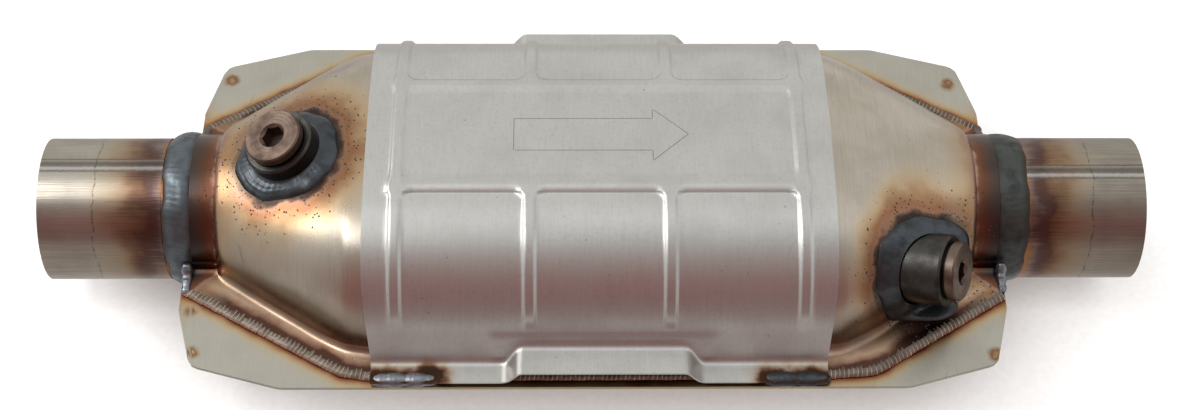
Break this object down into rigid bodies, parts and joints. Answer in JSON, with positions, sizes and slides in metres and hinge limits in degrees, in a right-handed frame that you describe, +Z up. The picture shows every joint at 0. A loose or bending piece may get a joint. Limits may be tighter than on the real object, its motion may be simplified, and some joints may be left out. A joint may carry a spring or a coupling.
{
  "type": "catalytic converter",
  "caption": "Exhaust catalytic converter with an oval two-piece shell, conical ends, pipe stubs, plugged sensor bosses and a ribbed heat shield.",
  "frame": {"origin": "centre of the bounding box in plan, at its lowest level, under the middle of the body", "axes": "+X along the pipes from the inlet to the outlet, +Y away from the near side, +Z up"},
  "size_m": [0.438, 0.1724, 0.1046],
  "materials": {
    "shield_steel": "satin",
    "shell_steel": "brushed, heat tinted",
    "flange_steel": "satin, heat tinted by the seam",
    "pipe_steel": "brushed, heat tinted",
    "weld_metal": "dark, rippled",
    "tack_metal": "bright weld metal",
    "boss_steel": "turned, dark",
    "plug_steel": "turned, brownish",
    "substrate_ceramic": "matt coated ceramic",
    "support_mat": "fibrous",
    "mesh_ring": "knitted wire"
  },
  "bodies": {
    "root": {"upper_shell": "shell_steel", "lower_shell": "flange_steel", "heat_shield": "shield_steel", "inlet_pipe": "pipe_steel", "outlet_pipe": "pipe_steel", "inlet_pipe_weld": "weld_metal", "outlet_pipe_weld": "weld_metal", "near_seam_weld": "weld_metal", "far_seam_weld": "weld_metal", "inlet_near_corner_weld": "weld_metal", "inlet_far_corner_weld": "weld_metal", "outlet_near_corner_weld": "weld_metal", "outlet_far_corner_weld": "weld_metal", "near_inlet_tack": "tack_metal", "near_outlet_tack": "tack_metal", "far_inlet_tack": "tack_metal", "far_outlet_tack": "tack_metal", "inlet_sensor_boss": "boss_steel", "outlet_sensor_boss": "boss_steel", "inlet_boss_weld": "weld_metal", "outlet_boss_weld": "weld_metal", "inlet_boss_plug": "plug_steel", "outlet_boss_plug": "plug_steel", "inlet_plug_washer": "boss_steel", "outlet_plug_washer": "boss_steel", "front_monolith": "substrate_ceramic", "rear_monolith": "substrate_ceramic", "front_mat": "support_mat", "rear_mat": "support_mat", "front_mesh_seal": "mesh_ring", "rear_mesh_seal": "mesh_ring"}
  },
  "joints": []
}
